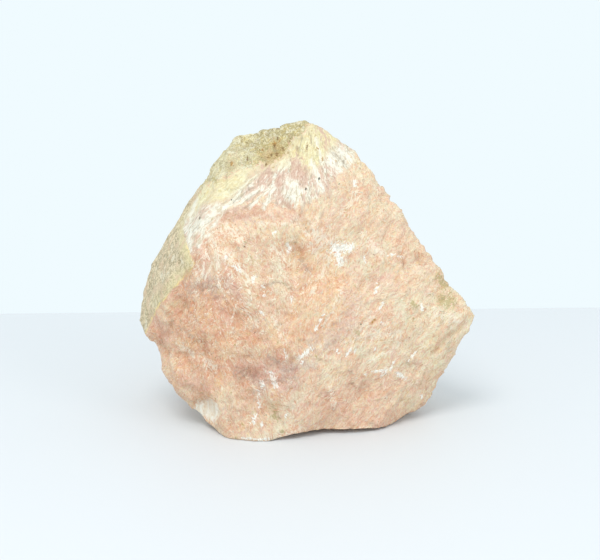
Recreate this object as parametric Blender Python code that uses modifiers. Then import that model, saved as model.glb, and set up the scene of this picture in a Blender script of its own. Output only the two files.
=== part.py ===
"""Barite specimen: one broken block of massive pink barite, standing on its flat underside.

The block starts as the convex hull of the corners where its break faces meet. The hull is remeshed evenly,
and then its skin is moved in and out: waves, stepped ledges and a hackly grain over every face, and the
hollows, swells and cracks that it has at named places. What reaches below the resting plane is sliced off.
Metres, +Z up, the broad front face towards -Y, and the origin at the middle of the underside.
"""

import bmesh
import bpy
from mathutils import Vector, noise

# ---- The corners of the block, where three or more break faces meet ----
TOP_CORNERS = {
    "apex": (0.0016, 0.0042, 0.1088),
    "apex_left": (-0.0106, 0.0062, 0.1045),
    "apex_back": (0.0064, 0.0162, 0.0990),
    "knob": (-0.0236, 0.0117, 0.1013),
    "cap_left": (-0.0293, 0.0097, 0.0945),
    "cap_back": (-0.0216, 0.0242, 0.0880),
}
LEFT_CORNERS = {
    "cap_low": (-0.0387, 0.0092, 0.0805),
    "left_shoulder": (-0.0473, 0.0077, 0.0675),
    "left_upper": (-0.0564, 0.0032, 0.0540),
    "left_edge": (-0.0600, -0.0008, 0.0440),
    "left_corner": (-0.0608, -0.0078, 0.0365),
    "rim_low": (-0.0496, -0.0198, 0.0510),
    "rim_high": (-0.0386, -0.0238, 0.0640),
    "left_low": (-0.0511, -0.0158, 0.0190),
    "left_chip": (-0.0451, -0.0168, 0.0100),
}
RIGHT_CORNERS = {
    "right_bump": (0.0194, -0.0003, 0.0980),
    "right_tip": (0.0629, -0.0093, 0.0375),
    "right_under": (0.0529, -0.0063, 0.0190),
    "right_low": (0.0454, -0.0093, 0.0040),
}
FRONT_CORNERS = {
    "band_left": (-0.0336, -0.0158, 0.0810),
    "band_middle": (-0.0076, -0.0218, 0.0800),
    "band_right": (0.0124, -0.0148, 0.0860),
    "ridge_high": (-0.0266, -0.0283, 0.0660),
    "ridge_low": (-0.0046, -0.0338, 0.0300),
    "face_right": (0.0364, -0.0188, 0.0460),
}
BACK_CORNERS = {
    "back_left_upper": (-0.0456, 0.0252, 0.0530),
    "back_left_low": (-0.0396, 0.0222, 0.0160),
    "back_middle": (-0.0016, 0.0362, 0.0540),
    "back_low": (-0.0036, 0.0322, 0.0100),
    "back_right_upper": (0.0194, 0.0202, 0.0770),
    "back_right": (0.0404, 0.0222, 0.0400),
    "back_right_low": (0.0364, 0.0182, 0.0100),
}
FOOT_CORNERS = {
    "foot_front_left": (-0.0236, -0.0343, -0.0015),
    "foot_front": (-0.0136, -0.0353, -0.0015),
    "foot_front_middle": (-0.0046, -0.0333, -0.0015),
    "foot_front_right": (0.0249, -0.0263, 0.0000),
    "foot_right": (0.0372, -0.0163, 0.0000),
    "foot_left": (-0.0336, -0.0248, 0.0010),
    "foot_back_left": (-0.0216, 0.0182, -0.0015),
    "foot_back_right": (0.0244, 0.0162, -0.0015),
}
CORNERS = TOP_CORNERS | LEFT_CORNERS | RIGHT_CORNERS | FRONT_CORNERS | BACK_CORNERS | FOOT_CORNERS

# ---- The skin: what the break did to every face ----
# Broad waves, as layers of noise: the widest layer's size, each layer's share of the one before, and their number.
WAVE_SIZE = 0.024
WAVE_DEPTH = 0.0014
WAVE_FADING = 0.9
WAVE_NARROWING = 2.0
WAVE_LAYERS = 3
WAVE_PLACE = Vector((3, 1, 7))
# Ledges: level treads, with a riser over the middle third of each step.
LEDGE_SIZE = 0.015
LEDGE_STEP = 0.30
LEDGE_DEPTH = 0.0017
LEDGE_SLOPE = 0.5
LEDGE_PLACE = Vector((11, 5, 2))
RISER_START = 0.35
RISER_SHARE = 0.30
# Hackle: low lumps with grooves between them.
HACKLE_SIZE = 0.0065
HACKLE_DEPTH = 0.0007

# ---- The skin: what lies at one place only ----
# Each hollow is a round dish: its middle, how far it reaches and how deep it is.
HOLLOWS = {
    "cap_hollow": ((-0.0094, -0.0044, 0.0976), 0.0090, 0.0020),
    "cap_pit": ((-0.0026, -0.0038, 0.0985), 0.0040, 0.0010),
    "saddle": ((-0.0164, 0.0062, 0.1010), 0.0080, 0.0012),
    "band_notch": ((-0.0058, -0.0197, 0.0817), 0.0065, 0.0014),
    "face_pit": ((-0.0023, -0.0238, 0.0665), 0.0060, 0.0014),
    "under_ridge": ((-0.0186, -0.0320, 0.0265), 0.0100, 0.0022),
    "under_ridge_right": ((-0.0075, -0.0330, 0.0250), 0.0080, 0.0016),
    "left_pocket": ((-0.0435, -0.0231, 0.0472), 0.0070, 0.0018),
    "rim_pocket": ((-0.0353, -0.0273, 0.0549), 0.0065, 0.0012),
    "low_pocket": ((-0.0357, -0.0277, 0.0332), 0.0055, 0.0014),
    "left_notch": ((-0.0541, -0.0148, 0.0262), 0.0080, 0.0026),
    "shell_chip": ((-0.0360, -0.0283, 0.0085), 0.0075, 0.0030),
    "foot_chip": ((0.0379, -0.0158, 0.0020), 0.0035, 0.0008),
    "foot_gap": ((0.0064, -0.0303, -0.0010), 0.0100, 0.0024),
    "shoulder_dip": ((0.0269, -0.0038, 0.0825), 0.0050, 0.0010),
    "tip_under": ((0.0554, -0.0108, 0.0290), 0.0080, 0.0012),
    "tip_above": ((0.0529, -0.0078, 0.0490), 0.0105, 0.0018),
    "back_dish": ((-0.0226, 0.0302, 0.0500), 0.0160, 0.0030),
    "back_scoop": ((0.0214, 0.0302, 0.0300), 0.0140, 0.0026),
}
# Each swell is the same shape, standing out.
SWELLS = {
    "knob_swell": ((-0.0236, 0.0102, 0.1000), 0.0060, 0.0009),
    "left_bulge": ((-0.0446, -0.0228, 0.0200), 0.0090, 0.0016),
    "ridge_swell": ((-0.0196, -0.0303, 0.0503), 0.0090, 0.0012),
    "ridge_foot": ((-0.0056, -0.0326, 0.0335), 0.0070, 0.0010),
    "face_swell": ((0.0154, -0.0258, 0.0480), 0.0160, 0.0012),
    "shoulder_swell": ((0.0342, -0.0048, 0.0753), 0.0060, 0.0014),
    "back_ledge": ((0.0024, 0.0342, 0.0760), 0.0120, 0.0020),
}
# Each crack runs through its points: its half width and its depth.
CRACKS = {
    "arc_crack": (((-0.0058, -0.0197, 0.0817), (-0.0013, -0.0218, 0.0750), (-0.0013, -0.0237, 0.0629)), 0.0022, 0.0009),
    "left_crack": (((-0.0499, -0.0194, 0.0260), (-0.0350, -0.0277, 0.0295)), 0.0022, 0.0013),
    "tip_crack": (((0.0604, -0.0108, 0.0355), (0.0504, -0.0148, 0.0300), (0.0444, -0.0158, 0.0220)), 0.0024, 0.0010),
    "back_crack": (((-0.0416, 0.0262, 0.0330), (-0.0096, 0.0352, 0.0250), (0.0204, 0.0302, 0.0180)), 0.0028, 0.0014),
}

# ---- How finely the block is made ----
VOXEL = 0.0015
TRIANGLES = 8400

# ---- Its stuff ----
PINK = (0.78, 0.55, 0.42, 1.0)
ROUGHNESS = 0.8


def clear_scene():
    for obj in list(bpy.data.objects):
        bpy.data.objects.remove(obj, do_unlink=True)


def ease(share):
    """0 to 1 with level ends."""
    share = min(max(share, 0.0), 1.0)
    return share * share * (3 - 2 * share)


def dish(point, place, reach):
    """1 at the middle of a dish and 0 at its rim."""
    return ease(1 - (point - Vector(place)).length / reach)


def along_crack(point, route, half_width):
    """1 on a crack's line and 0 beyond its half width."""
    nearest = half_width
    for start, end in zip(route, route[1:]):
        start = Vector(start)
        run = Vector(end) - start
        share = min(max((point - start).dot(run) / run.length_squared, 0.0), 1.0)
        nearest = min(nearest, (point - start - run * share).length)
    return ease(1 - nearest / half_width)


def terraces(value, step):
    """The value in level treads with short risers between them."""
    tread, part = divmod(value, step)
    return (tread + ease((part / step - RISER_START) / RISER_SHARE)) * step


def skin_height(point):
    """How far the skin stands out at a point of the hull."""
    wave = noise.fractal(point / WAVE_SIZE + WAVE_PLACE, WAVE_FADING, WAVE_NARROWING, WAVE_LAYERS)
    lie = noise.noise(point / LEDGE_SIZE + LEDGE_PLACE)
    ledge = terraces(lie, LEDGE_STEP) - lie * LEDGE_SLOPE
    nearest, second = noise.voronoi(point / HACKLE_SIZE)[0][:2]
    height = WAVE_DEPTH * wave + LEDGE_DEPTH * ledge + HACKLE_DEPTH * (second - nearest)
    for place, reach, depth in HOLLOWS.values():
        height -= depth * dish(point, place, reach)
    for place, reach, depth in SWELLS.values():
        height += depth * dish(point, place, reach)
    for route, half_width, depth in CRACKS.values():
        height -= depth * along_crack(point, route, half_width)
    return height


def hull_mesh():
    """The block with flat faces and sharp corners."""
    bm = bmesh.new()
    for corner in CORNERS.values():
        bm.verts.new(corner)
    bmesh.ops.convex_hull(bm, input=bm.verts)
    mesh = bpy.data.meshes.new("barite_hull")
    bm.to_mesh(mesh)
    bm.free()
    return mesh


def modified(mesh, kind, **settings):
    """The mesh as a modifier leaves it."""
    holder = bpy.data.objects.new("modifier_holder", mesh)
    bpy.context.scene.collection.objects.link(holder)
    modifier = holder.modifiers.new(kind.lower(), kind)
    for name, value in settings.items():
        setattr(modifier, name, value)
    graph = bpy.context.evaluated_depsgraph_get()
    result = bpy.data.meshes.new_from_object(holder.evaluated_get(graph))
    bpy.data.objects.remove(holder)
    bpy.data.meshes.remove(mesh)
    return result


def shape_skin(mesh):
    moves = [v.normal * skin_height(v.co) for v in mesh.vertices]
    for vertex, move in zip(mesh.vertices, moves):
        vertex.co += move


def slice_foot(mesh):
    """Slices off what reaches below the resting plane, and closes the cut with one flat face."""
    bm = bmesh.new()
    bm.from_mesh(mesh)
    everything = bm.verts[:] + bm.edges[:] + bm.faces[:]
    cut = bmesh.ops.bisect_plane(bm, geom=everything, plane_co=(0, 0, 0), plane_no=(0, 0, -1), clear_outer=True)
    rim = [e for e in cut["geom_cut"] if isinstance(e, bmesh.types.BMEdge)]
    bmesh.ops.holes_fill(bm, edges=rim)
    bm.to_mesh(mesh)
    bm.free()


def centre_over_origin(mesh):
    """Puts the origin at the middle of the underside."""
    columns = [[v.co[axis] for v in mesh.vertices] for axis in (0, 1)]
    middle = [(min(column) + max(column)) / 2 for column in columns]
    for vertex in mesh.vertices:
        vertex.co.x -= middle[0]
        vertex.co.y -= middle[1]


def barite():
    material = bpy.data.materials.new("pink_barite")
    material.use_nodes = True
    shader = material.node_tree.nodes["Principled BSDF"]
    shader.inputs["Base Color"].default_value = PINK
    shader.inputs["Roughness"].default_value = ROUGHNESS
    shader.inputs["Metallic"].default_value = 0.0
    return material


def barite_block():
    mesh = modified(hull_mesh(), "REMESH", mode="VOXEL", voxel_size=VOXEL)
    shape_skin(mesh)
    mesh.calc_loop_triangles()
    mesh = modified(mesh, "DECIMATE", ratio=TRIANGLES / len(mesh.loop_triangles))
    slice_foot(mesh)
    centre_over_origin(mesh)
    mesh.name = "barite_block"
    mesh.materials.append(barite())
    return bpy.data.objects.new("barite_block", mesh)


clear_scene()
specimen = bpy.data.collections.new("barite_specimen")
bpy.context.scene.collection.children.link(specimen)
specimen.objects.link(barite_block())
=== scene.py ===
import math

import bpy
import numpy as np
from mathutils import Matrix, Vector, noise


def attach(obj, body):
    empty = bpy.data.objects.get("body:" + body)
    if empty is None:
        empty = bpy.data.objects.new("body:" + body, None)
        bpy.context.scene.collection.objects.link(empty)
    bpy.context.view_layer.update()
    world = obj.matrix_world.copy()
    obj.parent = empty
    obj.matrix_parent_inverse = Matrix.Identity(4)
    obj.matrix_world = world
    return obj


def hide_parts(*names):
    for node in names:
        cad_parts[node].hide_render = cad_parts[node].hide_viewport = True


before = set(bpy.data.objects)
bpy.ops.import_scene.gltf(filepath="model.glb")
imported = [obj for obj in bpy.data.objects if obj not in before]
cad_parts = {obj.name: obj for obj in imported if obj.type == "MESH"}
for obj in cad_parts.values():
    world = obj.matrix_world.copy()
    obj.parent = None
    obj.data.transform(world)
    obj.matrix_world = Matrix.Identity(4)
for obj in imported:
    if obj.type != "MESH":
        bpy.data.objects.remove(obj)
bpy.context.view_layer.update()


# ---- The block ----
# One lump of massive pink barite, broken from a vein: a felt of blades, each a millimetre or two long.
# Its break faces are hackly, with small chipped facets, and the top is an old weathered face with pits.
# It is one solid piece, fixed to nothing, and stands loose on its underside.
MILLIMETRE = 0.001
SKIN_VOXEL = 0.00067
SKIN_SMOOTHING = {"factor": 0.5, "iterations": 8}


def as_modified(mesh, kind, **settings):
    """The mesh as one modifier leaves it."""
    holder = bpy.data.objects.new("modifier_holder", mesh)
    bpy.context.scene.collection.objects.link(holder)
    modifier = holder.modifiers.new(kind.lower(), kind)
    for name, value in settings.items():
        setattr(modifier, name, value)
    graph = bpy.context.evaluated_depsgraph_get()
    result = bpy.data.meshes.new_from_object(holder.evaluated_get(graph))
    bpy.data.objects.remove(holder)
    bpy.data.meshes.remove(mesh)
    return result


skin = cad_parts["barite_block"].data.copy()
skin.materials.clear()
skin = as_modified(skin, "REMESH", mode="VOXEL", voxel_size=SKIN_VOXEL, use_smooth_shade=True)
skin = as_modified(skin, "SMOOTH", **SKIN_SMOOTHING)
skin.name = "barite_stone"


def ramp(value, low, high):
    """0 below low, 1 above high, eased between; low may be above high."""
    share = min(max((value - low) / (high - low), 0.0), 1.0)
    return share * share * (3 - 2 * share)


# A wave of the block's skin is layered noise. It is given by how much it moves, how wide it is and where in
# space the noise is taken, so that no two waves are alike.
WAVE_FADING = 0.8
WAVE_NARROWING = 2.1
WAVE_LAYERS = 3


def waved(point, wave):
    """How far a wave moves a point, either way."""
    most, size, place = wave
    spot = point / size + Vector((place, 0, 0))
    return most * noise.fractal(spot, WAVE_FADING, WAVE_NARROWING, WAVE_LAYERS)


# Three skins meet on the block. Each edge is a line on the front, in millimetres: heights at steps across
# it, or for the joint face's rim, sides at steps up it.
CAP_EDGE = (
    (-60, 84), (-38, 85), (-33, 88), (-30, 90.4), (-26.5, 91.5), (-19, 92), (-15.5, 93.6), (-12, 94.8),
    (-9, 96.6), (-7, 99), (-5, 102), (-2.5, 105), (0, 108), (60, 160),
)
WASH_EDGE = (
    (-60, 70), (-40, 76), (-36.5, 78.5), (-32.5, 79.5), (-28.5, 81), (-24, 84.5), (-20.5, 88.5), (-13.5, 92),
    (-6, 95), (-2.5, 93.5), (1, 91), (4, 93), (8, 100), (14, 108), (30, 122),
)
BLADE_EDGE = (
    (-60, 56), (-43, 65), (-38, 70.7), (-35, 75.5), (-32, 78), (-28, 79.5), (-24, 80.5), (-19.5, 81.5),
    (-10.5, 81.3), (-2.5, 81.3), (2, 82.5), (4.7, 84.5), (7.5, 87.5), (14, 97), (30, 120),
)
RIM_EDGE = (
    (0, -68), (33.5, -58), (39.5, -55), (43, -53.3), (47.5, -50.7), (50.5, -47.7), (54.5, -45), (58.5, -41),
    (61, -38.8), (64, -40.6), (67.5, -42.5), (70, -44.3), (72, -44.2), (74, -43), (76, -42.2), (78.5, -40.7),
    (80.5, -39.3), (83, -38), (86, -44), (90, -62),
)
# The layers lean back, and each edge is drawn where the skin lies at this depth.
LAYER_LEAN = 0.30
CAP_FRONT = -0.008
BLADE_FRONT = -0.020
# Every edge wavers, and the blades tear theirs along the fan too.
EDGE_WAVE = (0.0018, 0.008, 31)
EDGE_GRAIN = (0.0010, 0.0026, 17)
RIM_WAVE = (0.0007, 0.0035, 5)
BLADE_TEAR = 0.0040
BLADE_TEAR_SIZE = 0.0016
# A skin fades in between two distances past its edge.
CAP_FADE = (-0.0030, 0.0030)
WASH_FADE = (-0.0040, 0.0040)
BLADE_FADE = (-0.0030, 0.0042)
JOINT_FADE = (-0.0005, 0.0007)
# The joint face has a thin rim with a pale strip beside it: how far each reaches, and at which heights it
# fades.
RIM_MIDDLE = 0.0001
RIM_FADE = (0.0009, 0.0001)
RIM_TOP = (0.073, 0.066)
STRIP_FADE = (0.0060, 0.0005)
STRIP_FOOT = (0.030, 0.060)
STRIP_TOP = (0.078, 0.066)


def on_edge(edge, where):
    """The height of an edge where it crosses a place, both in metres."""
    where /= MILLIMETRE
    for (start, low), (end, high) in zip(edge, edge[1:]):
        if where < end:
            return (low + (high - low) * max(where - start, 0.0) / (end - start)) * MILLIMETRE
    return edge[-1][1] * MILLIMETRE


def read_layers(point, along_fan):
    """How much of each skin a point has, each 0 to 1."""
    ragged = waved(point, EDGE_WAVE) + waved(point, EDGE_GRAIN)
    torn = BLADE_TEAR * noise.noise(along_fan / BLADE_TEAR_SIZE)
    over_cap = point.z + LAYER_LEAN * (point.y - CAP_FRONT) + ragged
    over_blades = point.z + LAYER_LEAN * (point.y - BLADE_FRONT) + ragged + torn
    beyond_rim = on_edge(RIM_EDGE, point.z) - point.x + waved(point, RIM_WAVE)
    cap = ramp(over_cap - on_edge(CAP_EDGE, point.x), *CAP_FADE)
    return {
        "cap": cap,
        "wash": ramp(over_cap - on_edge(WASH_EDGE, point.x), *WASH_FADE),
        "blades": ramp(over_blades - on_edge(BLADE_EDGE, point.x), *BLADE_FADE) * (1 - cap),
        "joint": ramp(beyond_rim, *JOINT_FADE),
        "rim": ramp(abs(beyond_rim - RIM_MIDDLE), *RIM_FADE) * ramp(point.z, *RIM_TOP),
        "beside_rim": ramp(beyond_rim, *STRIP_FADE) * ramp(point.z, *STRIP_FOOT) * ramp(point.z, *STRIP_TOP),
    }


# The long blades spread like a fan from the apex.
FAN_CENTRE = Vector((0.0015, 0.0, 0.1150))
FAN_RADIUS = 0.026
BLADE_STRETCH = 0.13
FAN_THROUGH = 0.5


def fan(point):
    """Where a point lies in the fan: across the blades, along them and through the layer."""
    run = point - FAN_CENTRE
    reach = math.hypot(run.x, run.z)
    return Vector((math.atan2(run.x, -run.z) * FAN_RADIUS, reach * BLADE_STRETCH, point.y * FAN_THROUGH))


# The felt leans one way on the right of the block and the other way on the left: at steps across it, in
# millimetres, its angle from level, in degrees. The angle has a wave too.
LEAN = ((-60, 50), (-45, 60), (-32, 104), (-16, 118), (-4, 92), (6, 62), (30, 48), (60, 40))
LEAN_WAVE = (22, 0.013, 77)


def lean(point):
    """The felt's angle at a point, in radians."""
    return math.radians(on_edge(LEAN, point.x) / MILLIMETRE + waved(point, LEAN_WAVE))


DRAWN_STEP = 0.00080
DRAWN_STEPS = 4


def drawn_out(point, facing, angle, size):
    """Noise drawn out along the lean of the felt."""
    way = Vector((math.cos(angle), 0.0, math.sin(angle)))
    way -= facing * way.dot(facing)
    way *= DRAWN_STEP
    total = sum(noise.noise((point + way * step) / size) for step in range(-DRAWN_STEPS, DRAWN_STEPS + 1))
    return total / DRAWN_STEPS


# Chips are small tilted facets: how wide each kind is, how high it stands and where its noise is taken.
# Their edges are bent by a noise whose place is drawn at random, so it is seeded.
CHIPS = ((0.0085, 0.00055, 0), (0.0036, 0.00026, 7))
CHIP_BEND = 0.18
CHIP_BEND_PITCH = 1.7
CHIP_SHUFFLE = 5.3
CHIP_SEED = 11
noise.seed_set(CHIP_SEED)


def chipped(point, size, place):
    """Small tilted facets, one to a cell, from about -0.5 to 0.5."""
    spot = point / size + Vector((0, place, 0))
    spot += noise.noise_vector(spot * CHIP_BEND_PITCH) * CHIP_BEND
    centre = noise.voronoi(spot)[1][0]
    tilt = noise.cell_vector(centre * CHIP_SHUFFLE) * 2 - Vector((1, 1, 1))
    return (spot - centre).dot(tilt)


PIT_SIZE = 0.0028
PIT_DEPTH = 0.0007
PIT_PLACE = Vector((4, 9, 2))
PIT_SHUFFLE = 3.1
PIT_EDGE = (0.40, 0.10)
PIT_SHARE = 0.02
PIT_SHARE_ON_CAP = 0.16


def pitting(point, share):
    """Sparse round pits, 0 to 1 deep, in a share of the cells."""
    distances, centres = noise.voronoi(point / PIT_SIZE + PIT_PLACE)[:2]
    chosen = noise.cell_vector(centres[0] * PIT_SHUFFLE).x
    return ramp(distances[0], *PIT_EDGE) if chosen > 1 - share else 0.0


# The shell-shaped chip at the lower left lies below one edge and left of another: heights at steps across,
# and sides at steps up, in millimetres. It fades out low down and towards the back.
SHELL_TOP = (
    (-46, 0), (-41.5, 6), (-39, 11), (-36, 12.6), (-33, 12.9), (-31.6, 12.2), (-30.6, 10.5), (-29.5, 7),
    (-28, 2),
)
SHELL_SIDE = ((0, -35), (3.5, -33.5), (5, -32), (7.5, -30.3), (10, -30.5), (12, -31.5), (16, -35))
SHELL_FLOOR = 0.0030
SHELL_BACK = -0.006
SHELL_BACK_SLOPE = 0.3
SHELL_BACK_RAGGED = 3
SHELL_WAVE = (0.0006, 0.004, 61)
SHELL_FADE = (-0.0010, 0.0022)
SHELL_DEPTH = 0.0007


def in_shell(point):
    """1 inside the shell-shaped chip and 0 outside it."""
    if point.y > SHELL_BACK or point.x > 0:
        return 0.0
    uneven = waved(point, SHELL_WAVE)
    below = on_edge(SHELL_TOP, point.x) - point.z + uneven
    beside = on_edge(SHELL_SIDE, point.z) - point.x + uneven
    ahead = (SHELL_BACK - point.y) * SHELL_BACK_SLOPE + SHELL_BACK_RAGGED * uneven
    return ramp(min(below, beside, ahead, point.z - SHELL_FLOOR), *SHELL_FADE)


def steps_from(point, place):
    """How far a point is from the middle of a round place, where 1 is the place's own reach."""
    middle, reach = place
    return Vector((part / size for part, size in zip(point - middle, reach))).length


LUMPS = (0.00030, 0.0055, 3)
GRIT_SIZE = 0.0017
GRIT_DEPTH = 0.00012
STREAK_SIZE = 0.0016
STREAK_DEPTH = 0.00034
BLADE_PITCH = 0.0015
BLADE_DEPTH = 0.00040
# The cap's crust of ridges: its size and depth, the noise's fading, narrowing, layers, offset and gain, and
# the value that counts as level.
CRUST_SIZE = 0.0034
CRUST_DEPTH = 0.00025
CRUST_LAYERS = (0.9, 2.1, 3, 1.0, 2.0)
CRUST_LEVEL = 0.9
# How much of the roughness each of these takes away.
CAP_EVENNESS = 0.6
JOINT_EVENNESS = 0.65
SHELL_EVENNESS = 0.8
# The round hollow under the front ridge: its middle and its reach along x, y and z.
RIDGE_HOLLOW = (Vector((-0.0190, -0.0330, 0.0200)), Vector((0.0105, 0.0100, 0.0075)))
RIDGE_HOLLOW_DEPTH = 0.0010
RIDGE_HOLLOW_FADE = (1.0, 0.35)


def relief(point, along_fan, streak, shell, skins):
    """How far the skin stands out from the smooth block."""
    cap = skins["cap"]
    hackle = waved(point, LUMPS) + GRIT_DEPTH * noise.noise(point / GRIT_SIZE)
    for size, tilt, place in CHIPS:
        hackle += tilt * chipped(point, size, place)
    hackle += STREAK_DEPTH * streak * (1 - skins["blades"]) * (1 - CAP_EVENNESS * cap)
    height = hackle * (1 - JOINT_EVENNESS * skins["joint"]) * (1 - SHELL_EVENNESS * shell)
    height += BLADE_DEPTH * noise.noise(along_fan / BLADE_PITCH) * skins["blades"]
    crust = noise.ridged_multi_fractal(point / CRUST_SIZE, *CRUST_LAYERS) - CRUST_LEVEL
    height += CRUST_DEPTH * crust * cap
    height -= PIT_DEPTH * pitting(point, PIT_SHARE + PIT_SHARE_ON_CAP * cap) * (1 - shell)
    hollow = ramp(steps_from(point, RIDGE_HOLLOW), *RIDGE_HOLLOW_FADE)
    return height - SHELL_DEPTH * shell - RIDGE_HOLLOW_DEPTH * hollow


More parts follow.
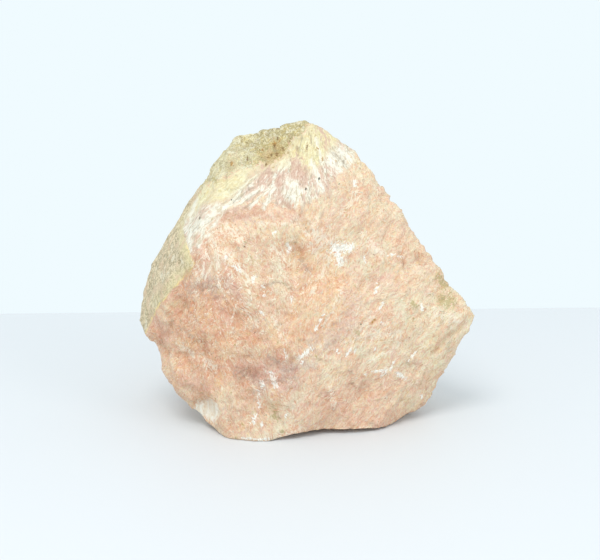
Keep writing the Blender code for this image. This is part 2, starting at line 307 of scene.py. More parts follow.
# Marks on the front, in millimetres: each runs from one x and z to another, with its half width.
# Chalk, cream and fibre are soft white barite. Ochre, pit, moss, grain and stain are iron, clay and grit.
# Dim and crack are painted shade, in hollows, under ledges and in thin cracks. Seam is the dark seams between
# the long blades, partly painted shade. The rest are where the barite or the long blades change hue.
MARKS = {
    "chalk": (
        (10, 66.5, 15.5, 66, 1.5), (11, 65, 12, 61.5, 1.3), (20.3, 62.5, 20.6, 61, 0.4),
        (29, 62.2, 31.5, 62.5, 0.3), (32.5, 61.8, 34.5, 60.8, 0.3), (25, 53, 24, 50, 0.4),
        (27, 46.5, 26, 45, 0.5), (41.2, 44.5, 41.3, 43, 0.5), (26.6, 40.2, 27, 39.8, 0.35),
        (3, 39, 6, 44.5, 0.35), (-2.5, 30, 1.5, 32.4, 0.8), (-7.6, 33.5, -7, 31, 0.4),
        (-23, 0.9, -13, 0.9, 0.35), (-2, 27.8, -1.5, 28.4, 0.4), (-5, 51, -5.4, 49, 0.4),
        (23.5, 22.3, 28.5, 22.3, 0.4), (26.5, 20, 28, 21, 0.5), (20.3, 21.7, 21.5, 21.5, 0.3),
        (30, 22, 31, 25, 0.4), (33, 20.5, 35.5, 18, 0.6), (36.5, 24.5, 39.5, 27.5, 0.3),
        (42, 9.7, 42, 8.8, 0.4), (14, 29.5, 15.5, 31.6, 0.4), (17, 30, 17.4, 31, 0.3),
        (10.7, 31.7, 11, 31, 0.45), (24.3, 30.6, 24.3, 30.2, 0.35), (-27.8, 65.5, -27.5, 65, 0.5),
        (-25, 62, -23.3, 60.6, 0.6), (-18.6, 58, -18.2, 56.5, 0.5), (-15.5, 55, -15, 54.3, 0.4),
        (-15, 52, -14.5, 51.6, 0.4), (-6, 68, -6, 66, 0.6), (-12, 72.6, -10.6, 73, 0.3),
        (-15.8, 46, -14.8, 45.2, 0.35), (-15.5, 21, -15.2, 19.6, 0.6), (-12.5, 24.2, -10.7, 20.5, 0.8),
        (-17, 18.5, -16.7, 12.5, 0.5), (-17.4, 10, -18.8, 7, 0.6), (-15.6, 6.7, -15.7, 5.6, 0.4),
        (-7.6, 9, -7.2, 9.4, 0.4), (17.2, 87.6, 17.2, 86.8, 0.6),
    ),
    "cream": (
        (-16, 1.2, -9, 1.6, 1.0), (-9, 1.6, -3, 3.2, 1.0), (-36, 73.5, -30.5, 67, 1.1),
        (-31, 66, -30, 54, 0.5), (-28, 66, -22, 60, 1.2), (-22, 60, -18, 56, 0.9),
        (-40, 62, -37.5, 56, 0.5), (-16, 76, -4, 75.5, 0.5), (-12, 68, -6, 62, 0.7),
        (8.5, 18, 9.5, 12, 0.7), (2, 52, 10, 66, 0.8), (6, 40, 12, 52, 0.7), (16, 34, 24, 44, 0.6),
        (-22, 48, -17, 41, 0.6), (-44.5, 31, -40.5, 28.5, 1.3), (-36.5, 28, -33, 25, 1.2),
        (1.5, 67.5, 5, 65, 1.2), (1.5, 72.5, 8, 69, 1.8), (18, 36, 33, 35.5, 1.6),
        (46, 41, 54, 38.5, 1.8), (-28.5, 73.5, -22, 71, 1.3), (22, 26, 34, 31, 0.6),
        (20, 70, 27, 63, 0.8), (12, 78, 18, 84, 0.8), (-12, 44, -8, 36, 0.7),
    ),
    "fibre": (
        (-35, 66.5, -36.5, 56.7, 0.3), (-35, 66, -32.8, 62.2, 0.3), (-30.3, 66.5, -30.4, 56, 0.22),
        (-30.4, 56, -27.6, 50.2, 0.22), (-38.6, 62.2, -36.1, 57.9, 0.3), (-32.8, 62.9, -35.4, 56.2, 0.3),
        (-28.5, 63.4, -25.8, 55.6, 0.25), (-21, 56.7, -18.9, 50.5, 0.25),
        (-23.8, 50.4, -25.9, 43.8, 0.25),
    ),
    "ochre": (
        (22.7, 40, 24.5, 41.5, 0.35), (-11.6, 99.6, -11.2, 100.3, 0.5), (-15.5, 98, -15.2, 97.5, 0.4),
        (-27, 93.4, -26.8, 92.8, 0.45), (3.8, 99, 4, 98.7, 0.3), (5.5, 96, 5.8, 95.3, 0.3),
    ),
    "pit": (
        (-11.6, 99.4, -11.4, 99.8, 0.35), (-8.6, 99, -8.1, 98.2, 0.35), (-10.2, 102, -10.2, 101.6, 0.35),
        (-10.8, 97, -10.6, 96.4, 0.35), (-14.3, 94, -14.3, 93.6, 0.35), (-15.4, 97.8, -15.3, 97.5, 0.3),
        (-21.2, 95.4, -21.1, 95, 0.3), (0.2, 100, 0.2, 98.5, 0.3), (-12.6, 96.5, -12.4, 96.2, 0.3),
    ),
    "moss": (
        (37.6, 45.6, 38.6, 44.2, 0.7), (48.8, 45, 52.5, 43.5, 1.5), (51.4, 45.5, 53, 44.8, 1.0),
        (47.4, 53.4, 50, 49.5, 1.2), (17.3, 38, 18.4, 37, 0.6), (-11.4, 10.7, -10.7, 8.4, 0.9),
        (-8.6, 3.5, -8, 2.7, 0.5), (-33.5, 88, -32, 87, 0.6),
    ),
    "grain": (
        (19.2, 40.3, 19.2, 40.2, 0.33), (-0.2, 86.7, -0.2, 86.6, 0.4), (-1.3, 84.5, -1.3, 84.4, 0.3),
        (4.4, 89.8, 4.4, 89.6, 0.4), (11.4, 87.9, 11.4, 87.8, 0.25), (-18.8, 87.2, -18.8, 87.1, 0.25),
        (-26.5, 82.9, -26.5, 82.8, 0.28), (-37.8, 76.3, -37.8, 76.2, 0.35), (-31, 73.7, -31, 73.6, 0.25),
        (-0.2, 74, -0.2, 73.9, 0.3),
    ),
    "dim": (
        (-40.5, 10, -37, 11.6, 1.4), (-47, 44, -43, 48, 1.6), (-53, 37, -51, 34, 1.0),
        (-36, 34, -35, 29.5, 0.9), (-31, 77, -16, 79.2, 1.0), (-24, 26, -15, 24, 1.3),
        (-23.5, 15.5, -11, 14, 2.2), (-24.5, 22.5, -19.5, 18, 1.4), (-15.5, 23.5, -8, 21.5, 0.9),
        (-41, 16, -36, 15, 1.2), (-2, 79, 1, 73, 0.7), (-2.3, 67, -0.9, 61.5, 0.6), (37, 63, 42, 60, 1.3),
        (-9, 34, -4, 30, 1.0), (52, 33, 46, 27, 0.8), (33, 62, 36, 58, 0.7), (-42, 57, -38, 63, 1.2),
    ),
    "stain": (
        (-14, 96, -8.5, 97, 2.2), (-11, 100, -9, 99, 1.4), (-27, 92.5, -26, 93, 1.2),
    ),
    "crack": (
        (-36.5, 52.5, -34, 53.5, 0.3), (-35.2, 39, -36, 30, 0.3), (-44, 28.7, -35.5, 29, 0.3),
        (-26, 31.5, -19, 30, 0.3), (-17.5, 28, -12, 25, 0.3), (-24.5, 26, -21, 22.5, 0.3),
        (41, 14, 44, 21.5, 0.3), (-54.5, 34.5, -53, 28, 0.3), (0.2, 100.5, -0.2, 98, 0.4),
    ),
    "cloud": (
        # The row from x -41 at z 53 is a painted shadow line under a ledge, not a change of hue.
        (8, 34, 17, 46, 2.6), (3, 36, 11, 38, 2.0), (-41, 53, -33, 54, 1.6), (-28, 56, -22, 50, 1.4),
        (-16, 16, -14, 26, 1.4), (-8, 26, 2, 27, 1.4), (-32, 80, -20, 77, 0.9),
    ),
    "dusk": (
        # The first row lies on the cloud row at z 53 to 54: together they paint the shadow line under a
        # ledge.
        (-39.5, 53.4, -33, 54.6, 1.9), (-24, 24.6, -18.5, 22.8, 1.1), (-19, 21.5, -15, 20.5, 0.8),
        (-8, 22, -4, 22.8, 0.7), (-43.6, 38, -41, 36, 0.8), (-2, 62, 0.5, 59, 0.9),
        (-13, 30.5, -10, 29, 0.6),
    ),
    "rosy": (
        (-24, 25, -9, 22, 2.2), (-31, 76.5, -16, 79, 1.3), (-16, 79, -2, 77, 1.2),
        (-44, 19, -35, 17, 2.0), (-55, 40, -50, 33, 2.2), (-38.5, 69, -35.5, 63, 1.5),
        (-36, 59, -33, 56, 1.3), (-28.5, 63.5, -27, 58.5, 0.7), (-25.5, 56.5, -23.5, 52, 0.6),
        (13.5, 52, 15, 49.5, 1.2), (-31.5, 50, -27.5, 43, 1.2), (-52, 47, -48, 51.5, 1.2),
        (23, 52.5, 29, 55.5, 0.9),
    ),
    "sage": (
        (-10, 10.5, -2, 16, 1.8), (-14, 15, -9, 6, 1.4), (-10.5, 62, -8.5, 52, 1.8),
        (-21, 57, -19.5, 49, 1.0), (10, 59, 13.5, 61, 0.9), (19.5, 61, 21.5, 56.5, 0.9),
        (33, 47, 35, 40.5, 1.1), (18, 31, 23, 27.5, 1.1),
    ),
    "mauve": (
        (-3.4, 95.5, -2.3, 91, 1.5), (-5.5, 92, -3.4, 90, 0.8), (-13.6, 92, -12.5, 89.5, 0.8),
        (-9.7, 91, -9.3, 85, 0.9), (-8.9, 84.7, -5.8, 81, 0.6), (-15.7, 93.5, -15, 88, 0.4),
        (5, 105.5, 7, 100, 1.0), (7.5, 90.5, 8.2, 84, 0.55), (9.5, 91.5, 10.5, 85.5, 0.4),
        (-18.5, 86, -17.3, 82, 0.35), (-32.5, 77.5, -24.5, 80, 0.6), (-24.5, 80, -19, 81.5, 0.45),
    ),
    "bright": (
        (-37, 74, -31, 79.5, 1.2), (3.4, 102, 5.5, 94, 0.4), (-39.8, 80, -41.4, 74, 0.6),
        (-41.6, 74, -41, 66, 0.6), (-24.5, 81, -15.5, 87, 0.5), (-19.5, 81, -13.5, 86.5, 0.5),
        (-14.8, 81.3, -11.5, 87, 0.6), (-7.5, 85.5, -3.7, 83, 1.2), (-6, 89, -2.3, 85.5, 1.0),
        (1.6, 94.5, 5.5, 86.5, 0.7), (-37.5, 67.5, -35, 77, 0.7), (-35, 71, -28, 80.5, 0.6),
        (8.3, 95, 12, 92.5, 1.1), (12, 98, 15.5, 94.5, 0.9),
    ),
    "seam": (
        (-1.5, 103, -3, 97, 0.5), (0.8, 104, 2.8, 98.5, 0.5), (-3.5, 99.5, -2, 95.5, 0.4),
        (2.3, 99.4, 5.5, 93, 0.3), (5.5, 93, 8.6, 87.5, 0.3), (-26, 81.7, -20, 86, 0.3),
        (-24, 80.5, -16.3, 86, 0.3), (-21.8, 80.3, -15.6, 84.3, 0.3), (-12.8, 86.3, -13.4, 82, 0.3),
        (-8.3, 90.5, -8, 85.5, 0.3), (-6.2, 98.5, -5.8, 95.5, 0.35), (-19, 97, -21, 95, 0.35),
        (-21.7, 97.3, -18, 96, 0.3), (-16, 100, -17, 97.5, 0.3), (-25.3, 94.7, -21.5, 93, 0.3),
    ),
}
# A mark fades to nothing at so many half widths. A row as short as a dot still counts as a run. The rows
# mark only what lies in front of one depth.
MARK_SPREAD = 3.0
SHORTEST_RUN = 1e-6
FRONT_ONLY = 0.006


def nearness(where, marks, side):
    """For each point on a side, 1 in the middle of a mark, falling to 0 around it."""
    share = np.zeros(len(where))
    flat = where[:, (0, 2)] / MILLIMETRE
    for x0, z0, x1, z1, half_width in marks:
        start = np.array((x0, z0))
        run = np.array((x1, z1)) - start
        along = np.clip((flat - start) @ run / max(run @ run, SHORTEST_RUN), 0, 1)
        away = np.linalg.norm(flat - start - along[:, None] * run, axis=1)
        share = np.maximum(share, 1 - away / (half_width * MARK_SPREAD))
    return np.where(side, share, 0)


# The back has marks of the same kinds, scattered over it: how many of each, and their size.
MARKS_BEHIND = {
    "chalk": (24, 1.0), "cream": (12, 1.0), "dim": (9, 1.0), "ochre": (6, 0.35), "moss": (4, 1.0),
    "rosy": (8, 1.0), "sage": (8, 1.0), "cloud": (6, 1.0), "crack": (8, 1.0),
}
BEHIND_LOW = (-45, 6)
BEHIND_HIGH = (42, 66)
BEHIND_RUN = 2.6
BEHIND_WIDTHS = (0.3, 1.0)
BEHIND_SEED = 11
scatter = np.random.default_rng(BEHIND_SEED)


def scattered(number=0, size=1.0):
    """So many short strokes over the back, each like a row of the marks."""
    starts = scatter.uniform(BEHIND_LOW, BEHIND_HIGH, (number, 2))
    runs = scatter.normal(0, BEHIND_RUN, (number, 2)) * size
    widths = scatter.uniform(*BEHIND_WIDTHS, (number, 1)) * size
    return np.hstack((starts, starts + runs, widths))


# Broad tints, each a round place on the block with how far it reaches along x, y and z.
TINTS = {
    "salmon": (Vector((-0.0340, -0.0200, 0.0350)), Vector((0.0300, 0.0300, 0.0240))),
    "left_side": (Vector((-0.0240, -0.0250, 0.0560)), Vector((0.0300, 0.0300, 0.0260))),
    "orange": (Vector((0.0050, -0.0250, 0.0500)), Vector((0.0130, 0.0200, 0.0200))),
    "dusky": (Vector((-0.0150, -0.0330, 0.0250)), Vector((0.0160, 0.0200, 0.0110))),
    "low": (Vector((0.0120, -0.0340, 0.0080)), Vector((0.0320, 0.0300, 0.0140))),
    "right_side": (Vector((0.0520, -0.0050, 0.0350)), Vector((0.0240, 0.0300, 0.0220))),
    "amber": (Vector((-0.0070, -0.0200, 0.0725)), Vector((0.0110, 0.0200, 0.0060))),
    "cap_pale": (Vector((-0.0300, 0.0000, 0.0930)), Vector((0.0120, 0.0300, 0.0100))),
    "pale": (Vector((0.0150, -0.0060, 0.0960)), Vector((0.0110, 0.0200, 0.0090))),
}
TINT_FADE = (1.25, 0.45)
TINT_WAVES = {name: (0.40, 0.009, 41 + 2 * number) for number, name in enumerate(TINTS)}


def tinting(point, name):
    """How much of a tint a point has, 0 to 1."""
    return ramp(steps_from(point, TINTS[name]) + waved(point, TINT_WAVES[name]), *TINT_FADE)


count = len(skin.vertices)
spots = np.empty(count * 3, np.float32)
facings = np.empty(count * 3, np.float32)
skin.vertices.foreach_get("co", spots)
skin.vertex_normals.foreach_get("vector", facings)
spots = spots.reshape(-1, 3)
facings = facings.reshape(-1, 3)
POINT_VALUES = (
    "cap", "wash", "blades", "joint", "rim", "beside_rim", "shell", "streak", "lean", "height", *TINTS
)
painted = {name: np.zeros(count, np.float32) for name in POINT_VALUES}
fans = np.zeros((count, 3), np.float32)
for index in range(count):
    point = Vector(spots[index])
    along_fan = fan(point)
    angle = lean(point)
    streak = drawn_out(point, Vector(facings[index]), angle, STREAK_SIZE)
    shell = in_shell(point)
    skins = read_layers(point, along_fan)
    height = relief(point, along_fan, streak, shell, skins) / MILLIMETRE
    fans[index] = along_fan
    found = dict(skins, shell=shell, streak=streak, lean=angle, height=height)
    found.update((name, tinting(point, name)) for name in TINTS)
    for name, value in found.items():
        painted[name][index] = value
in_front = spots[:, 1] < FRONT_ONLY
for name, marks in MARKS.items():
    behind = scattered(*MARKS_BEHIND.get(name, ()))
    share = nearness(spots, marks, in_front) + nearness(spots, behind, ~in_front)
    painted[name] = share.astype(np.float32)

# The relief dies away at the foot, so that the block stands flat.
FOOT_FADE = 0.0012
lifts = np.clip(spots[:, 2] / FOOT_FADE, 0, 1) * painted["height"] * MILLIMETRE
spots += facings * lifts[:, None]

# Along the front the edge stands a little off the table, over a low gap: its heights at steps across.
GAP_SIDES = (-0.0145, -0.0040, 0.0040, 0.0200, 0.0330)
GAP_HEIGHTS = (0.0, 0.0022, 0.0019, 0.0017, 0.0)
GAP_BACK = (-0.0140, -0.0060)
gap_height = np.interp(spots[:, 0], GAP_SIDES, GAP_HEIGHTS)
gap_share = np.interp(spots[:, 1], GAP_BACK, (1, 0))
spots[:, 2] = np.maximum(spots[:, 2], gap_height * gap_share)

# How far each point lies below the ground around it, in millimetres: painted shade darkens the hollows by it.
# The ground is the mesh with each point moved to the middle of its neighbours, so many times over.
GROUND_ROUNDS = 48
ends = np.empty(len(skin.edges) * 2, np.int32)
skin.edges.foreach_get("vertices", ends)
first, second = ends.reshape(-1, 2).T
meeting = np.bincount(first, minlength=count) + np.bincount(second, minlength=count)
ground = spots.astype(np.float64)
for _ in range(GROUND_ROUNDS):
    gathered = [
        np.bincount(first, ground[second, axis], count) + np.bincount(second, ground[first, axis], count)
        for axis in range(3)
    ]
    ground = np.stack(gathered, 1) / meeting[:, None]
painted["dip"] = (((ground - spots) * facings).sum(1) / MILLIMETRE).astype(np.float32)
skin.vertices.foreach_set("co", spots.ravel())
for name, values in painted.items():
    skin.attributes.new(name, "FLOAT", "POINT").data.foreach_set("value", values)
skin.attributes.new("fan", "FLOAT_VECTOR", "POINT").data.foreach_set("vector", fans.ravel())
skin.polygons.foreach_set("use_smooth", [True] * len(skin.polygons))


def colour(red, green, blue):
    """A colour named by its screen values, 0 to 255, as light: the sRGB curve taken off."""
    values = [v / 255 for v in (red, green, blue)]
    return tuple(v / 12.92 if v <= 0.04045 else ((v + 0.055) / 1.055) ** 2.4 for v in values) + (1.0,)


class Finish:
    """A material being put together: each call adds nodes and gives back an output."""

    NOISE_MIDDLE = 0.5
    NOISE_WAY = (1.0, 1.7, 0.6)

    def __init__(self, name):
        self.material = bpy.data.materials.new(name)
        self.material.use_nodes = True
        self.tree = self.material.node_tree
        self.shader = self.tree.nodes["Principled BSDF"]

    def feed(self, socket, value):
        if isinstance(value, bpy.types.NodeSocket):
            self.tree.links.new(value, socket)
        else:
            socket.default_value = value

    def node(self, kind, inputs=(), output=0, **settings):
        made = self.tree.nodes.new(kind)
        for name, value in settings.items():
            setattr(made, name, value)
        for name, value in dict(inputs).items():
            self.feed(made.inputs[name], value)
        return made.outputs[output]

    def sum(self, operation, first, second=0.0, third=0.0):
        return self.node("ShaderNodeMath", {0: first, 1: second, 2: third}, operation=operation)

    def times(self, first, second):
        return self.sum("MULTIPLY", first, second)

    def vector(self, operation, first, second):
        return self.node("ShaderNodeVectorMath", {0: first, 1: second}, operation=operation)

    def scaled(self, where, scale):
        return self.node("ShaderNodeVectorMath", {0: where, "Scale": scale}, operation="SCALE")

    def painted(self, name, output="Fac"):
        """A value painted on the mesh."""
        return self.node("ShaderNodeAttribute", output=output, attribute_name=name)

    def noise(self, where, size, detail, roughness, offset, output=0):
        """Noise about 0.5, of one size, taken at its own place."""
        moved = self.vector("ADD", self.scaled(where, 1 / size), [offset * way for way in self.NOISE_WAY])
        inputs = {"Vector": moved, "Scale": 1.0, "Detail": detail, "Roughness": roughness}
        return self.node("ShaderNodeTexNoise", inputs, output)

    def centred(self, value):
        """A noise moved to lie about 0."""
        return self.sum("SUBTRACT", value, self.NOISE_MIDDLE)

    def moved_by(self, value, noise, share):
        """A value moved by a share of a noise."""
        return self.sum("MULTIPLY_ADD", self.centred(noise), share, value)

    def apart(self, value, middle):
        """How far a value is from a middle one."""
        return self.sum("ABSOLUTE", self.sum("SUBTRACT", value, middle))

    def range(self, value, low, high, start=0.0, end=1.0):
        """From start where a value is low to end where it is high, eased; low may be above high."""
        inputs = {"Value": value, "From Min": low, "From Max": high, "To Min": start, "To Max": end}
        return self.node("ShaderNodeMapRange", inputs, interpolation_type="SMOOTHSTEP")

    def mix(self, share, first, second, blend="MIX"):
        inputs = {0: share, 6: first, 7: second}
        return self.node("ShaderNodeMix", inputs, 2, data_type="RGBA", blend_type=blend)

    def coated(self, base, *coats):
        """A base under coats, each nothing where its value is low and so much where it is high."""
        for value, low, high, most, tint in coats:
            base = self.mix(self.range(value, low, high, 0.0, most), base, tint)
        return base

    def marked(self, base, name, tint, grain, roughness, low, high, most, blend="MIX"):
        """A base under a painted mark or skin, laid as a coat is, whose edge a grain about 0 makes rough."""
        reach = self.sum("MULTIPLY_ADD", grain, roughness, self.painted(name))
        return self.mix(self.range(reach, low, high, 0.0, most), base, tint, blend)


stone = Finish("pink_barite_felt")
place = stone.node("ShaderNodeTexCoord", output="Object")
streak = stone.painted("streak")

# A noise is given by its size, its detail, its roughness and where in space it is taken.
BEND_NOISE = (0.0030, 1.0, 0.5, 2.0)
SWING_NOISE = (0.0036, 1.0, 0.5, 7.0)
SPECKLE_NOISE = (0.00050, 1.0, 0.5, 21.0)
MOTTLE_NOISE = (0.0028, 3.0, 0.6, 3.0)
RAGGED_NOISE = (0.0010, 3.0, 0.65, 61.0)

# The felt: fine blades, drawn out along five directions. The one that shows swings from place to place.
FELT_ANGLES = (10, 45, 80, 115, 150)
FELT_STEP = math.radians(35)
FELT_SWING = 3.4
FELT_BEND = 0.0020
FELT_THROUGH = 0.6
FELT_DETAIL = 1.0
FELT_ROUGHNESS = 0.5
# How thin and how long each size of blade is, and where its noise is taken.
FINE_BLADES = (0.00044, 0.0030, 0.0)
BROAD_BLADES = (0.00095, 0.0052, 300.0)
bends = stone.noise(place, *BEND_NOISE, "Color")
bends = stone.vector("SUBTRACT", bends, (Finish.NOISE_MIDDLE,) * 3)
bent = stone.vector("ADD", place, stone.scaled(bends, FELT_BEND))
heading = stone.moved_by(stone.painted("lean"), stone.noise(place, *SWING_NOISE), FELT_SWING)
heading = stone.sum("MAXIMUM", heading, math.radians(FELT_ANGLES[0]))
heading = stone.sum("MINIMUM", heading, math.radians(FELT_ANGLES[-1]))


def felt(thin, long, offset):
    """Blades of one size, as a value about 0.5."""
    total = 0.0
    for angle in FELT_ANGLES:
        turn = {"Vector": bent, "Angle": math.radians(angle)}
        turned = stone.node("ShaderNodeVectorRotate", turn, rotation_type="Y_AXIS")
        drawn = stone.vector("MULTIPLY", turned, (thin / long, FELT_THROUGH, 1.0))
        blades = stone.noise(drawn, thin, FELT_DETAIL, FELT_ROUGHNESS, offset + angle)
        apart = stone.sum("DIVIDE", stone.apart(heading, math.radians(angle)), FELT_STEP)
        share = stone.sum("MAXIMUM", stone.sum("SUBTRACT", 1.0, apart), 0.0)
        total = stone.sum("MULTIPLY_ADD", blades, share, total)
    return total


fine_felt = felt(*FINE_BLADES)
broad_felt = felt(*BROAD_BLADES)
speckle = stone.noise(place, *SPECKLE_NOISE)
mottle = stone.noise(place, *MOTTLE_NOISE)
ragged = stone.sum("SUBTRACT", stone.sum("ADD", stone.noise(place, *RAGGED_NOISE), fine_felt), 1.0)

# Tone runs from 0 in the dark of the felt to 1 on its pale blades.
TONE_SPREAD = 0.39
STREAK_TONE = 0.07
tone = stone.centred(fine_felt)
for value, share in ((broad_felt, 0.35), (mottle, 0.45), (speckle, 0.70)):
    tone = stone.moved_by(tone, value, share)
tone = stone.sum("MULTIPLY_ADD", streak, STREAK_TONE, tone)
tone = stone.range(tone, -TONE_SPREAD, TONE_SPREAD)

# Wisps follow the streaks. Threads and curls are pale lines, where a value is near a middle one, in patches.
WISP_SHIFT = 0.004
THREAD_MIDDLE = 0.52
THREAD_WIDTH = (0.024, 0.006)
THREAD_PATCHES = (0.0042, 2.0, 0.5, 51.0)
CURL_NOISE = (0.0021, 2.0, 0.55, 131.0)
CURL_WIDTH = (0.022, 0.005)
CURL_PATCHES = (0.0036, 2.0, 0.6, 137.0)
PATCH_EDGE = 0.42
shift = stone.node("ShaderNodeCombineXYZ", {0: streak, 2: streak})
wisp = stone.vector("ADD", bent, stone.scaled(shift, WISP_SHIFT))


def lines(value, middle, width, patches, inside, most=1.0):
    """Thin lines where a value is near a middle one, full where a noise of patches is inside its edge."""
    near = stone.range(stone.apart(value, middle), *width)
    return stone.times(near, stone.range(stone.noise(place, *patches), PATCH_EDGE, inside, 0.0, most))


threads = lines(broad_felt, THREAD_MIDDLE, THREAD_WIDTH, THREAD_PATCHES, 0.60)
curls = lines(stone.noise(wisp, *CURL_NOISE), Finish.NOISE_MIDDLE, CURL_WIDTH, CURL_PATCHES, 0.54)

# Pink, salmon, cream and dusky barite run into each other. Each has a dark colour and a pale one.
BARITES = {
    "pink": (colour(211, 172, 146), colour(237, 211, 184)),
    "salmon": (colour(208, 152, 120), colour(235, 191, 157)),
    "cream": (colour(219, 202, 166), colour(240, 230, 202)),
    "dusky": (colour(190, 156, 136), colour(220, 194, 173)),
    "gold": (colour(226, 188, 140), colour(243, 221, 180)),
    "rose": (colour(212, 164, 146), colour(236, 202, 184)),
    "sage": (colour(214, 203, 172), colour(236, 229, 203)),
    "mauve": (colour(192, 163, 150), colour(223, 200, 187)),
    "umber": (colour(164, 142, 126), colour(206, 186, 168)),
}
barites = {name: stone.mix(tone, *pair) for name, pair in BARITES.items()}
body = barites["pink"]
# Each broad tint, its barite and how much of it.
for name, barite, most in (
    ("right_side", "cream", 0.88), ("pale", "cream", 0.70), ("orange", "gold", 0.60), ("amber", "gold", 0.60),
    ("salmon", "salmon", 0.70), ("low", "salmon", 0.30), ("dusky", "dusky", 0.75),
):
    body = stone.mix(stone.times(stone.painted(name), most), body, barites[barite])
# Each size of wisp, where its noise is taken, the values between which it comes in, its barite and how much.
WISP_DETAIL = 4.0
WISP_ROUGHNESS = 0.70
for size, offset, low, high, barite, most in (
    (0.0105, 17.0, 0.48, 0.60, "cream", 0.75), (0.0070, 29.0, 0.52, 0.64, "gold", 0.60),
    (0.0085, 23.0, 0.54, 0.66, "dusky", 0.50), (0.0075, 11.0, 0.50, 0.62, "salmon", 0.60),
    (0.0026, 37.0, 0.54, 0.62, "cream", 0.50), (0.0024, 43.0, 0.52, 0.60, "salmon", 0.65),
    (0.0019, 47.0, 0.53, 0.60, "rose", 0.60), (0.0016, 53.0, 0.55, 0.62, "gold", 0.60),
    (0.0014, 59.0, 0.57, 0.63, "sage", 0.60),
):
    wisps = stone.noise(wisp, size, WISP_DETAIL, WISP_ROUGHNESS, offset)
    body = stone.coated(body, (wisps, low, high, most, barites[barite]))
# Each mark of hue, its barite, its roughness, the values between which it comes in, and how much.
for name, barite, *edge in (
    ("cloud", "mauve", 2.6, 0.15, 1.10, 0.65), ("rosy", "rose", 2.4, 0.20, 0.90, 0.60),
    ("sage", "sage", 2.4, 0.20, 0.90, 0.60), ("dusk", "umber", 2.6, 0.15, 1.10, 0.75),
):
    body = stone.marked(body, name, barites[barite], ragged, *edge)

# Clay and iron deepen some of the tints. On the left side and low down the deepening is also painted shade,
# where the faces turn away from the light.
for name, shade in (
    ("salmon", (0.97, 0.86, 0.81, 1.0)), ("low", (0.96, 0.91, 0.92, 1.0)),
    ("dusky", (0.955, 0.905, 0.93, 1.0)), ("left_side", (0.95, 0.905, 0.89, 1.0)),
    ("orange", (0.99, 0.92, 0.89, 1.0)),
):
    body = stone.mix(stone.painted(name), body, shade, "MULTIPLY")

# Threads and curls are cream, with more curls on the left. Brown specks and cream flecks lie between them.
THREAD_CREAM = colour(247, 238, 218)
SPECK_BROWN = colour(150, 118, 96)
THREAD_SHARE = 0.50
CURL_SHARES = (0.22, 0.80)
SPECK_NOISE = (0.0011, 2.0, 0.5, 71.0)
SPECK_SHARE = 0.7
FLECK_NOISE = (0.0014, 2.0, 0.6, 31.0)
body = stone.mix(stone.times(threads, THREAD_SHARE), body, THREAD_CREAM)
curl_most = stone.range(stone.painted("left_side"), 0.0, 1.0, *CURL_SHARES)
body = stone.mix(stone.times(curls, curl_most), body, THREAD_CREAM)
body = stone.coated(
    body,
    (stone.noise(place, *SPECK_NOISE), 0.30, 0.24, SPECK_SHARE, SPECK_BROWN),
    (stone.noise(bent, *FLECK_NOISE), 0.67, 0.75, 0.55, THREAD_CREAM),
)

# Fine blades differ in hue too, a little rosier or greener.
ROSY = (1.0, 0.940, 0.950, 1.0)
GREENISH = (0.970, 1.0, 0.950, 1.0)
HUE_NOISE = (0.0007, 2.0, 0.6, 111.0)
HUE_FROM_FELT = 0.5
HUE_RANGE = (0.34, 0.66)
hue = stone.moved_by(stone.noise(bent, *HUE_NOISE), fine_felt, HUE_FROM_FELT)
body = stone.mix(1.0, body, stone.mix(stone.range(hue, *HUE_RANGE), ROSY, GREENISH), "MULTIPLY")

# The long blades are white and cream with mauve-pink and grey ones between them, washed with yellow near
# the cap. The grey between them is partly painted shade in the gaps between blades.
BLADE_WHITE = colour(238, 234, 219)
BLADE_CREAM = colour(214, 198, 171)
BLADE_PINK = colour(212, 180, 160)
BLADE_GREY = colour(166, 151, 134)
BLADE_MAUVE = colour(198, 158, 140)
BLADE_SEAM = colour(152, 134, 108)
WASH_DEEP = colour(216, 201, 146)
WASH_YELLOW = colour(240, 233, 194)
WASH_OCHRE = colour(224, 202, 140)
BLADE_BEND = 0.0011
LINE_NOISE = (BLADE_PITCH * 0.34, 3.0, 0.62, 5.0)
BLADE_NOISE = (BLADE_PITCH * 0.60, 3.0, 0.65, 15.0)
PATCH_NOISE = (BLADE_PITCH * 2.1, 4.0, 0.66, 9.0)
WASH_NOISE = (0.0026, 4.0, 0.7, 93.0)
WASH_SHARE = 0.95
WASH_THINNING = (0.35, 0.62, 1.0, 0.65)
fan_place = stone.vector("ADD", stone.painted("fan", "Vector"), stone.scaled(bends, BLADE_BEND))
blade_lines = stone.noise(fan_place, *LINE_NOISE)
blade_tone = stone.noise(fan_place, *BLADE_NOISE)
blade_patch = stone.noise(fan_place, *PATCH_NOISE)
white = stone.coated(
    BLADE_WHITE,
    (blade_tone, 0.42, 0.58, 1.00, BLADE_CREAM),
    (blade_patch, 0.46, 0.56, 0.95, BLADE_PINK),
    (blade_patch, 0.45, 0.36, 0.55, BLADE_GREY),
    (blade_lines, 0.53, 0.64, 0.70, BLADE_GREY),
    (blade_lines, 0.45, 0.36, 0.70, BLADE_WHITE),
)
wash = stone.coated(
    WASH_DEEP,
    (blade_lines, 0.40, 0.60, 1.00, WASH_YELLOW),
    (stone.noise(bent, *WASH_NOISE), 0.52, 0.62, 0.55, WASH_OCHRE),
)
wash_share = stone.times(stone.painted("wash"), stone.range(blade_tone, *WASH_THINNING))
white = stone.mix(stone.times(wash_share, WASH_SHARE), white, wash)
mauve = stone.coated(BLADE_MAUVE, (blade_lines, 0.62, 0.42, 1.0, BLADE_PINK))
bright = stone.coated(BLADE_CREAM, (blade_lines, 0.62, 0.50, 1.0, BLADE_WHITE))
blade_grain = stone.centred(blade_tone)
